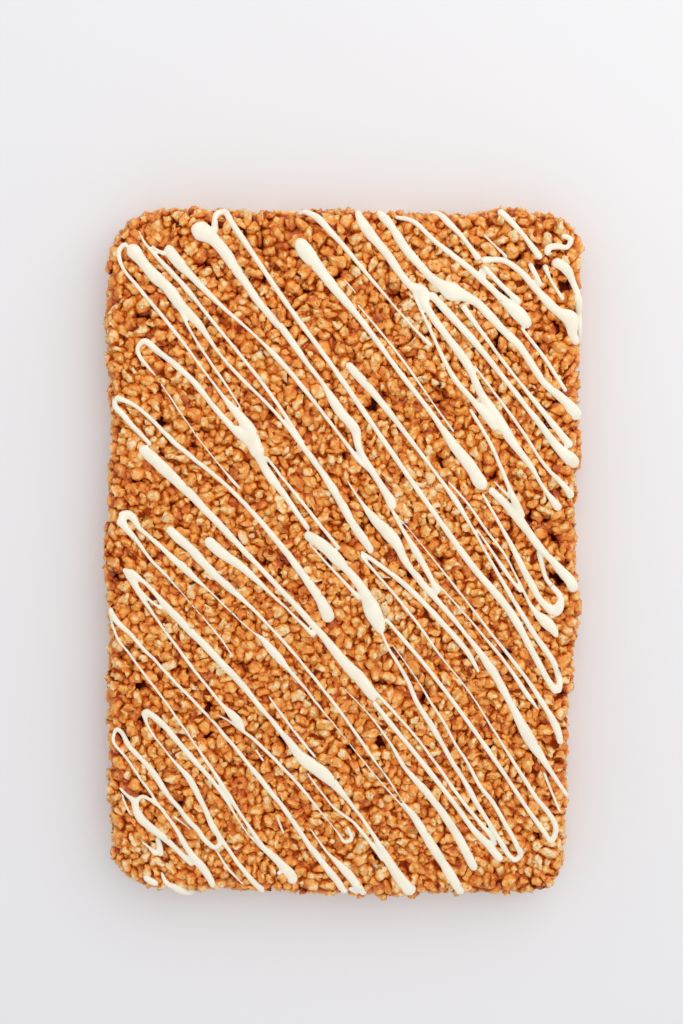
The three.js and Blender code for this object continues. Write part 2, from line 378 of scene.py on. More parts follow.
# The grains themselves: copies of the shapes, each turned, sized and toned on its own and joined into one
# mesh for each kind. Tone runs from well glazed to bare. How far a place stands out paints a highlight on the
# tops and shade on the sides, and how close another grain lies paints shade and pooled caramel where they
# touch; how deep in the slab a place lies paints shade as well. Here and there a grain fell out.
FINE_TRIANGLES = 210
COARSE_TRIANGLES = 46
GRAIN_SWELL = 1.42
GRAIN_BREADTH = (1.0, 1.25)
SEEN_DEPTH = 3.3
SHOWN_DEPTH = 5.4
PIT_DEPTH = 2.6
PIT_SHARE = 0.07
NEIGHBOURS = 10
POOL_AND_SHADE_REACH = 0.5
OUT_OF_REACH = 9.0
PATTERN_SPREAD = 400
KIND_STEP = 7
FLOOR_GAP = 0.02
TONE_MEAN, TONE_CLOUD, TONE_SCATTER, TONE_PALE = 0.575, 0.07, 0.06, 0.24
CLOUD_WAVES, CLOUD_PITCH, CLOUD_PHASE = 9, 0.35, 6

# Patches where the caramel is thin: x, y and reach.
PALE_PATCHES = ((42, 121, 20), (37, 37, 16), (103, -134, 13), (-95, -146, 15), (20, -20, 11), (-90, 60, 12))

# Each kind's dents, how far it puffed up, how many variants it has, its share, and how much paler it is.
GRAIN_KINDS = {
    "grains_plump": (plump, 0.8, 3, 0.14, 0.03),
    "grains_creased": (creased, 1, 3, 0.19, -0.02),
    "grains_curled": (curled, 1, 3, 0.20, 0.05),
    "grains_burst": (burst, 1, 3, 0.17, 0.0),
    "grains_lumpy": (lumpy, 1.3, 4, 0.18, -0.04),
    "grains_broken": (broken, 1, 2, 0.12, 0.1),
}


def mesh_from_arrays(name, corners, triangles):
    mesh = bpy.data.meshes.new(name)
    mesh.vertices.add(len(corners))
    mesh.vertices.foreach_set("co", (corners * MM).astype(np.float32).ravel())
    mesh.loops.add(triangles.size)
    mesh.loops.foreach_set("vertex_index", triangles.astype(np.int32).ravel())
    mesh.polygons.add(len(triangles))
    mesh.polygons.foreach_set("loop_start", np.arange(0, triangles.size, 3, dtype=np.int32))
    mesh.update(calc_edges=True)
    mesh.shade_smooth()
    piece = bpy.data.objects.new(name, mesh)
    bpy.context.collection.objects.link(piece)
    return piece


def add_values(piece, name, values):
    kind, field = ("FLOAT_VECTOR", "vector") if values.ndim == 2 else ("FLOAT", "value")
    layer = piece.data.attributes.new(name, kind, "POINT")
    layer.data.foreach_set(field, values.astype(np.float32).ravel())


def activate(*pieces):
    bpy.ops.object.select_all(action="DESELECT")
    for piece in pieces:
        piece.select_set(True)
    bpy.context.view_layer.objects.active = pieces[-1]


across = np.cross(lie, chance.normal(size=(grain_count, 3)))
across /= lengths(across)
turning = np.stack([lie, across, np.cross(lie, across)], axis=2)
girth = radius * GRAIN_SWELL
sizes = np.stack([stretch + girth, girth * chance.uniform(*GRAIN_BREADTH, grain_count), girth], axis=1)
pale = np.zeros(grain_count)
for patch_x, patch_y, patch_reach in PALE_PATCHES:
    near = np.hypot(middle[:, 0] - patch_x, middle[:, 1] - patch_y) / patch_reach
    pale += TONE_PALE * np.exp(-(near**2))
cloud_slopes = chance.normal(0, CLOUD_PITCH, (3, CLOUD_WAVES))
cloud_phases = chance.uniform(0, CLOUD_PHASE, CLOUD_WAVES)
cloudy = np.sin(middle @ cloud_slopes + cloud_phases).sum(axis=1) / math.sqrt(CLOUD_WAVES)
tone = TONE_MEAN + TONE_CLOUD * cloudy + chance.normal(0, TONE_SCATTER, grain_count) + pale
tone = np.clip(tone, 0, 1)
shares = np.array([share for _, _, _, share, _ in GRAIN_KINDS.values()])
kind_of = chance.choice(len(GRAIN_KINDS), grain_count, p=shares / shares.sum())
depth = -skin(tips.mean(axis=1))[0]
pitted = ~on_floor & (depth < PIT_DEPTH) & (chance.uniform(size=grain_count) < PIT_SHARE)
shows = (on_floor | (depth < SHOWN_DEPTH)) & ~pitted
coarse = on_floor | (depth > SEEN_DEPTH)
grain_tree = search_tree(middle)
beside = [[found[1] for found in grain_tree.find_n(centre, NEIGHBOURS + 1)[1:]] for centre in middle]
beside = np.array(beside)


def pool_and_shade(places, grains):
    """How much caramel set on each place of some grains, most where the grain beside it touches; the same
    value paints shade there.
    """
    gap = np.full(places.shape[:2], OUT_OF_REACH)
    for near in beside[grains].T:
        away = places - middle[near][:, None]
        along = np.clip((away * lie[near][:, None]).sum(-1), -stretch[near][:, None], stretch[near][:, None])
        side = np.linalg.norm(away - along[..., None] * lie[near][:, None], axis=-1)
        gap = np.minimum(gap, side - girth[near][:, None])
    return np.exp(-((np.maximum(gap, 0) / POOL_AND_SHADE_REACH) ** 2))


grain_pieces = []
all_corners, all_triangles, corner_total = [], [], 0
for kind_index, (kind, (dent, puff, variants, _, _)) in enumerate(GRAIN_KINDS.items()):
    variant_of = chance.integers(0, variants, grain_count)
    kind_corners, kind_triangles, kind_values, start = [], [], [], 0
    for variant, thin in itertools.product(range(variants), (False, True)):
        triangle_count = COARSE_TRIANGLES if thin else FINE_TRIANGLES
        seed = KIND_STEP * kind_index + variant + 1
        base, faces = shape_arrays(puffed_grain(dent, puff, seed, triangle_count))
        mine = np.flatnonzero((kind_of == kind_index) & (variant_of == variant) & shows & (coarse == thin))
        centres, sized = middle[mine][:, None], base[None] * sizes[mine][:, None]
        placed = np.einsum("nij,nvj->nvi", turning[mine], sized) + centres
        own = sized + chance.uniform(0, PATTERN_SPREAD, (len(mine), 1, 3))
        # How far each place stands out from the grain's middle: it paints a highlight on the tops and shade
        # on the sides.
        raised = ((placed - centres) * outward[mine][:, None]).sum(-1) / radius[mine][:, None]
        firsts = (np.arange(len(mine)) * len(base))[:, None, None]
        kind_corners.append(placed.reshape(-1, 3))
        kind_triangles.append((faces[None] + firsts + start).reshape(-1, 3))
        toned = np.repeat(tone[mine], len(base))
        kind_values.append((toned, own.reshape(-1, 3) * MM, raised.ravel(), pool_and_shade(placed, mine).ravel()))
        start += len(mine) * len(base)
    corners, triangles = np.concatenate(kind_corners), np.concatenate(kind_triangles)
    corners[:, 2] = np.maximum(corners[:, 2], FLOOR_GAP)
    piece = mesh_from_arrays(kind, corners, triangles)
    for layer, values in zip(("tone", "grain_place", "crest_light", "pool_and_shade"), zip(*kind_values)):
        add_values(piece, layer, np.concatenate(values))
    add_values(piece, "sunk_shade", np.clip(-skin(unsettled(corners))[0] / SHELL_DEPTH, 0, 1))
    grain_pieces.append(piece)
    all_corners.append(corners)
    all_triangles.append(triangles + corner_total)
    corner_total += len(corners)


# The glaze of the grains: cooked sugar over puffed rice, deep amber where it is thick and straw coloured
# where a grain is nearly bare, with small blisters, open pores and a soft shine. Its colour also holds
# painted
# light: a painted highlight on the crests, where the glaze is also thinner, and painted shade on their sides,
# between touching grains and in the creases, with some thicker caramel there, in the pores, and deeper in the
# slab. The surface group gives its height, pores, blotches and creases, from a place in the grain.
WRINKLE_SIZE, WRINKLE_DETAIL, WRINKLE_LIFT = 900, 3, 0.8
PORE_SIZE, PORE_DIP, PORE_SHADE = 480, 0.6, 0.45
PORE_EDGE = {"From Min": 0.08, "From Max": 0.2, "To Min": 1, "To Max": 0}
# The pores' dark colour is painted shade inside them.
PORE_SHADE_COLOUR = (0.16, 0.045, 0.012, 1)
MOTTLE_SIZE, MOTTLE_DETAIL = 520, 2
LOBE_SIZE, LOBE_SMOOTHNESS = 300, 0.35
CREASE_EDGE = {"From Min": 0.34, "From Max": 0.76}
# Painted light in the glaze colour: paler crests as a painted highlight, where the glaze is also thinner;
# darker sides, contacts and creases as painted shade, with caramel collecting at contacts and in creases. The
# mottle is random.
CREST_PAINTED_LIGHT, POOL_AND_SHADE_DARK, MOTTLE_SPREAD, CREASE_CARAMEL_AND_SHADE = 0.24, 0.29, 0.46, 0.28
GLAZE_ROUGHNESS, GLAZE_SHINE = 0.31, 0.5
GLAZE_DEPTH = {
    "Subsurface Weight": 0.12,
    "Subsurface Radius": (1.0, 0.45, 0.2),
    "Subsurface Scale": 0.0012,
}
GLAZE_RELIEF = {"Strength": 1.0, "Distance": 0.0007}
GLAZE_STOPS = (
    (0.0, (0.36, 0.045, 0.002)),
    (0.2, (0.56, 0.090, 0.005)),
    (0.4, (0.77, 0.190, 0.013)),
    (0.62, (0.93, 0.345, 0.044)),
    (0.82, (0.97, 0.49, 0.14)),
    (1.0, (0.99, 0.71, 0.39)),
)
# Painted shade: the colour is multiplied darker the deeper a place lies in the slab.
SUNK_SHADE_STOPS = (
    (0.0, (1, 1, 1)),
    (0.3, (0.97, 0.90, 0.80)),
    (0.6, (0.70, 0.45, 0.29)),
    (1.0, (0.26, 0.085, 0.035)),
)


def new_group(name, inputs, outputs):
    group = bpy.data.node_groups.new(name, "ShaderNodeTree")
    for socket, kind in inputs:
        group.interface.new_socket(socket, in_out="INPUT", socket_type=kind)
    for socket, kind in outputs:
        group.interface.new_socket(socket, in_out="OUTPUT", socket_type=kind)
    return group, group.nodes.new("NodeGroupInput"), group.nodes.new("NodeGroupOutput")


def new_material(name):
    material = bpy.data.materials.new(name)
    material.use_nodes = True
    tree = material.node_tree
    return material, tree.nodes, tree.links, tree.nodes["Principled BSDF"]


def set_up(node, values):
    for socket, value in values.items():
        node.inputs[socket].default_value = value
    return node


def ramp(nodes, stops):
    node = nodes.new("ShaderNodeValToRGB")
    while len(node.color_ramp.elements) < len(stops):
        node.color_ramp.elements.new(0.5)
    for element, (place, colour) in zip(node.color_ramp.elements, stops):
        element.position = place
        element.color = (*colour, 1)
    return node


def maths(nodes, links, operation, *values, clamp=False):
    node = nodes.new("ShaderNodeMath")
    node.operation = operation
    node.use_clamp = clamp
    for socket, value in zip(node.inputs, values):
        if isinstance(value, (int, float)):
            socket.default_value = value
        else:
            links.new(value, socket)
    return node.outputs[0]


blister, blister_in, blister_out = new_group(
    "blistered_surface",
    [("Place", "NodeSocketVector"), ("Wrinkle Size", "NodeSocketFloat"), ("Pore Size", "NodeSocketFloat")],
    [(kind, "NodeSocketFloat") for kind in ("Height", "Pores", "Mottle", "Creases")],
)
nodes, links = blister.nodes, blister.links
wrinkles = set_up(nodes.new("ShaderNodeTexNoise"), {"Detail": WRINKLE_DETAIL})
pits = nodes.new("ShaderNodeTexVoronoi")
pit_edge = set_up(nodes.new("ShaderNodeMapRange"), PORE_EDGE)
mottle = set_up(nodes.new("ShaderNodeTexNoise"), {"Scale": MOTTLE_SIZE, "Detail": MOTTLE_DETAIL})
lobes = nodes.new("ShaderNodeTexVoronoi")
lobes.feature = "SMOOTH_F1"
set_up(lobes, {"Scale": LOBE_SIZE, "Smoothness": LOBE_SMOOTHNESS})
crease = set_up(nodes.new("ShaderNodeMapRange"), CREASE_EDGE)
crease.interpolation_type = "SMOOTHSTEP"
for pattern in (wrinkles, pits, mottle, lobes):
    links.new(blister_in.outputs["Place"], pattern.inputs["Vector"])
links.new(blister_in.outputs["Wrinkle Size"], wrinkles.inputs["Scale"])
links.new(blister_in.outputs["Pore Size"], pits.inputs["Scale"])
links.new(pits.outputs["Distance"], pit_edge.inputs["Value"])
links.new(lobes.outputs["Distance"], crease.inputs["Value"])
creases, pores = crease.outputs["Result"], pit_edge.outputs["Result"]
wrinkled = maths(nodes, links, "MULTIPLY", wrinkles.outputs["Fac"], WRINKLE_LIFT)
dipped = maths(nodes, links, "MULTIPLY_ADD", pores, PORE_DIP, creases)
links.new(maths(nodes, links, "SUBTRACT", wrinkled, dipped), blister_out.inputs["Height"])
links.new(creases, blister_out.inputs["Creases"])
links.new(pores, blister_out.inputs["Pores"])
links.new(mottle.outputs["Fac"], blister_out.inputs["Mottle"])


def glaze_material(name, shift, roughness, shine):
    """Glazed rice, its tone moved by shift. The grains' own values say where it is thick, bare or sunk, and
    where highlight and shade are painted on.
    """
    material, nodes, links, shader = new_material(name)
    own, toned, sunk_shade, crest_light, pool_shade = [nodes.new("ShaderNodeAttribute") for _ in range(5)]
    own.attribute_name, toned.attribute_name = "grain_place", "tone"
    sunk_shade.attribute_name, crest_light.attribute_name, pool_shade.attribute_name = "sunk_shade", "crest_light", "pool_and_shade"
    surface = nodes.new("ShaderNodeGroup")
    surface.node_tree = blister
    set_up(surface, {"Wrinkle Size": WRINKLE_SIZE, "Pore Size": PORE_SIZE})
    links.new(own.outputs["Vector"], surface.inputs["Place"])
    thickness = toned.outputs["Fac"]
    # Mottle is random; the stand-out term paints a highlight on tops and shade on sides, and the contact and
    # crease terms paint shade along with darker caramel.
    for source, share in (
        (surface.outputs["Mottle"], MOTTLE_SPREAD),
        (crest_light.outputs["Fac"], CREST_PAINTED_LIGHT),
        (pool_shade.outputs["Fac"], -POOL_AND_SHADE_DARK),
        (surface.outputs["Creases"], -CREASE_CARAMEL_AND_SHADE),
    ):
        thickness = maths(nodes, links, "MULTIPLY_ADD", source, share, thickness)
    picked = maths(nodes, links, "SUBTRACT", thickness, MOTTLE_SPREAD / 2 - shift, clamp=True)
    colour = ramp(nodes, GLAZE_STOPS)
    links.new(picked, colour.inputs["Fac"])
    # Painted shade deeper in the slab.
    shade = ramp(nodes, SUNK_SHADE_STOPS)
    links.new(sunk_shade.outputs["Fac"], shade.inputs["Fac"])
    darkened, pored = nodes.new("ShaderNodeMix"), nodes.new("ShaderNodeMix")
    darkened.data_type = pored.data_type = "RGBA"
    darkened.blend_type = "MULTIPLY"
    darkened.inputs["Factor"].default_value = 1
    links.new(colour.outputs["Color"], darkened.inputs[6])
    links.new(shade.outputs["Color"], darkened.inputs[7])
    # Painted shade in the pores.
    pored.inputs[7].default_value = PORE_SHADE_COLOUR
    links.new(maths(nodes, links, "MULTIPLY", surface.outputs["Pores"], PORE_SHADE), pored.inputs["Factor"])
    links.new(darkened.outputs[2], pored.inputs[6])
    links.new(pored.outputs[2], shader.inputs["Base Color"])
    set_up(shader, {"Roughness": roughness, "Specular IOR Level": shine, **GLAZE_DEPTH})
    bump = set_up(nodes.new("ShaderNodeBump"), GLAZE_RELIEF)
    links.new(surface.outputs["Height"], bump.inputs["Height"])
    links.new(bump.outputs["Normal"], shader.inputs["Normal"])
    return material


for piece, (_, _, _, _, shift) in zip(grain_pieces, GRAIN_KINDS.values()):
    piece.data.materials.append(glaze_material(piece.name + "_glaze", shift, GLAZE_ROUGHNESS, GLAZE_SHINE))
    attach(piece, "root")
    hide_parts("treat_slab")


# The binder: caramel that wetted every grain and set between them in little fillets. It is modelled as a
# skin shrunk round a plain body and all the grains, also the buried ones, so each gap ends in caramel. Its
# colour is the darkest amber: thick caramel, and painted shade as little light reaches it. It is duller than
# the grains.
BINDER_INSET = 6.0
BINDER_LIFT = 1.2
BINDER_LOWEST = 0.1
BINDER_CORNER_STEPS = 8
BINDER_CELL = 1.15
BINDER_SHRINK = 0.60
BINDER_TRIANGLES = 190000
# The binder takes the full painted shade between grains and a little painted shade of the sides.
BINDER_VALUES = {"tone": 0.05, "crest_light": -0.2, "pool_and_shade": 1.0}
BINDER_SHIFT, BINDER_ROUGHNESS, BINDER_SHINE = 0.35, 0.35, 0.12
binder_half = SHELL_HALF - BINDER_INSET
binder_top = SHELL_TOP - BINDER_INSET
bpy.ops.mesh.primitive_cube_add(size=2)
binder = bpy.context.object
binder.name = "caramel_binder"
binder.scale = (binder_half[0] * MM, binder_half[1] * MM, (binder_top - BINDER_LIFT) / 2 * MM)
binder.location = (-SHELL_MIDDLE[0] * MM, -SHELL_MIDDLE[1] * MM, (binder_top + BINDER_LIFT) / 2 * MM)
bpy.ops.object.transform_apply(location=True, rotation=False, scale=True)
for on_right, on_far in itertools.product((0, 1), (0, 1)):
    mode("EDIT")
    bpy.ops.mesh.select_mode(type="EDGE")
    bpy.ops.mesh.select_all(action="DESELECT")
    mode("OBJECT")
    for edge in binder.data.edges:
        low, high = [binder.data.vertices[i].co for i in edge.vertices]
        here = (low.x > 0) == bool(on_right) and (low.y > 0) == bool(on_far)
        edge.select = here and abs(low.z - high.z) > MM
    mode("EDIT")
    corner_size = (SHELL_CORNERS[on_right, on_far] - BINDER_INSET) * MM
    bpy.ops.mesh.bevel(offset=corner_size, segments=BINDER_CORNER_STEPS)
    mode("OBJECT")

oval, oval_faces = shape_arrays(blunt_ball(2))
wet = np.flatnonzero(~pitted)
wet_sizes = oval[None] * BINDER_SHRINK * sizes[wet][:, None]
ovals = np.einsum("nij,nvj->nvi", turning[wet], wet_sizes) + middle[wet][:, None]
ovals[..., 2] = np.maximum(ovals[..., 2], BINDER_LOWEST)
oval_faces = oval_faces[None] + (np.arange(len(wet)) * len(oval))[:, None, None]
coated = mesh_from_arrays("coated_grains", ovals.reshape(-1, 3), oval_faces.reshape(-1, 3))
activate(coated, binder)
bpy.ops.object.join()
apply_modifier(binder, "REMESH", mode="VOXEL", voxel_size=BINDER_CELL * MM)
apply_modifier(binder, "SMOOTH", factor=0.5, iterations=2)
apply_modifier(binder, "DECIMATE", ratio=min(1, BINDER_TRIANGLES / (2 * len(binder.data.polygons))))
binder.data.validate()
bpy.ops.object.shade_smooth()
binder_corners = np.array([vertex.co for vertex in binder.data.vertices]) / MM
binder.data.calc_loop_triangles()
all_corners.append(binder_corners)
all_triangles.append(np.array([face.vertices for face in binder.data.loop_triangles]) + corner_total)
add_values(binder, "grain_place", binder_corners * MM)
for layer, value in BINDER_VALUES.items():
    add_values(binder, layer, np.full(len(binder_corners), value))
add_values(binder, "sunk_shade", np.clip(-skin(unsettled(binder_corners))[0] / SHELL_DEPTH, 0, 1))
binder.data.materials.append(glaze_material("set_caramel", BINDER_SHIFT, BINDER_ROUGHNESS, BINDER_SHINE))
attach(binder, "root")
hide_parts("treat_slab")


# The drizzle: melted white chocolate poured from a spoon in quick zigzags across the corners, in three
# passes. Each leg is a run of stations, each of three numbers, x, y and width in millimetres, read from the
# photograph, and the pour thins out between them.
LEFT_LEGS = (
    (-89.8, -152.3, 1.6, -87.3, -157, 2.8, -83.6, -160, 4, -79, -162.5, 5, -74, -164.3, 4.6),
    (-98.3, -154, 2.5, -95, -156.3, 4, -91, -158.3, 3),
    (-99, -136.5, 1, -94.8, -140.3, 1.8, -91.3, -144, 4.5),
    (-91.3, -134.5, 2.5, -90.3, -140, 4.8, -89.8, -145, 5),
    (-108.7, -109.5, 1.8, -105.2, -113.8, 2.2, -102, -117, 4, -100.6, -122, 4.4, -98.6, -125.8, 5,
     -94.8, -129.6, 5, -90, -133, 4.4, -84.5, -138.3, 3.4, -79, -144, 3.4, -73.2, -148.5, 4),
    (-101, -120, 3.2, -100.2, -116.3, 2.8, -97.8, -114.7, 2.4, -94.3, -116, 2, -90.6, -118.7, 1.8,
     -86.8, -122.5, 2),
    (-107.8, -113, 1.2, -106, -119, 1.1, -103.3, -124, 0.9),
    (-109.5, -80.5, 2.5, -111, -86, 2, -105.5, -94.5, 1.6, -96.6, -108.5, 1.7, -92.6, -114.5, 1.6,
     -89.8, -119, 1.7, -83.8, -127.5, 2.2, -75.5, -142, 4, -70.5, -148.5, 5, -66, -156, 4.5,
     -64.3, -160.5, 3.5),
    (-83, -124.5, 1.2, -74.5, -131.5, 0.8),
    (-109.5, -80.5, 2.5, -108, -82, 2.8, -104.3, -88.3, 3.3, -93.5, -101.2, 3.8, -83.3, -116.8, 3,
     -72.8, -129.5, 3, -66, -137.6, 3, -63.2, -139.9, 3, -60.9, -138.2, 3, -61.8, -134.5, 2.8),
    (-96, -72, 4.5, -94.8, -78, 2, -91, -85, 1.6, -84.8, -94, 1.4, -79.3, -100.5, 2.6, -75.5, -105, 4,
     -72.8, -110, 3.7, -69.8, -116.3, 3.2, -66.8, -123, 3.2, -64.4, -129, 3.8, -59.1, -137.5, 2.8,
     -48, -153, 2.8, -43.5, -159, 3.8, -40, -163.3, 4.2),
    (-96, -72, 4.5, -91.3, -75.2, 4.2, -83, -84, 3.6, -75.8, -92.8, 3.3, -61, -111, 2.6, -43, -138, 2.2,
     -38, -142, 4, -32.3, -148, 5.3, -26, -156.5, 6.5, -25.3, -158.8, 5.8),
    (-32.5, -151.7, 3, -32.5, -154, 2.2),
    (-63, -141, 1.2, -57.5, -149.5, 1.7, -53.2, -155.2, 1.6, -49.6, -159.2, 1.2),
    (-111.2, -22.3, 3, -110.5, -29, 2, -106.8, -38, 1.6, -101.6, -45.3, 1.5, -85.8, -67.8, 1.5,
     -67.5, -96, 1.8, -58.6, -110, 2.5, -50.3, -124, 2, -39, -141.5, 3),
    (-111.2, -22.3, 3, -109.8, -26, 3.5, -105.5, -31.3, 3.2, -101, -35.5, 2.6, -95.5, -42, 2.2,
     -69, -71.5, 1.8, -54.5, -88.5, 2.2, -41.5, -105.5, 3, -32, -118.2, 3.2, -19.2, -137.2, 3.3,
     0.2, -164.4, 4.5),
    (-102, -5, 5.5, -97, -14.5, 3.3, -90, -26, 2, -73.5, -50, 2.1, -57.3, -71.2, 2.8, -50.5, -79, 5.4,
     -48.5, -83.5, 2.5),
    (-104.5, -3.8, 1.5, -101.5, -5.7, 5.5, -95.3, -9.5, 3, -82, -24.3, 4.5, -66.3, -41, 4.4,
     -51.4, -57.6, 4.3, -28.7, -85.9, 3.7, -21, -96, 7, -9, -105.5, 7, -0.7, -115, 3.5, 14.5, -137, 3,
     21, -149, 5.5, 27.5, -159, 7, 32.8, -165.3, 8.3),
    (-97.8, -12, 1.8, -92, -18.5, 1.8, -85.5, -23.5, 1.8),
    (-62, -74, 0.7, -53, -79.8, 1.6, -27.5, -104, 2, -18, -115, 1.8, -11, -124, 1, -4, -133.5, 1.2,
     0, -138, 2.5, 2.3, -137, 2.5, 0.8, -130, 1.5),
    (-43, -92, 1, -39, -98, 1),
    (-33, -125, 1.3, -30, -134, 1.3),
    (-18.5, -104, 1.4, -6, -120.5, 1.4, 4.5, -129.5, 2, 18.5, -148, 3),
    (-18.5, -130, 0.8, -6.3, -146.3, 2.6, -0.5, -152.5, 5, 9.3, -165.8, 4.3),
    (1, -161, 2, 6, -165, 3),
    (-36, -66.5, 1, -27, -79.5, 1.6, -14, -96.5, 1.4),
)
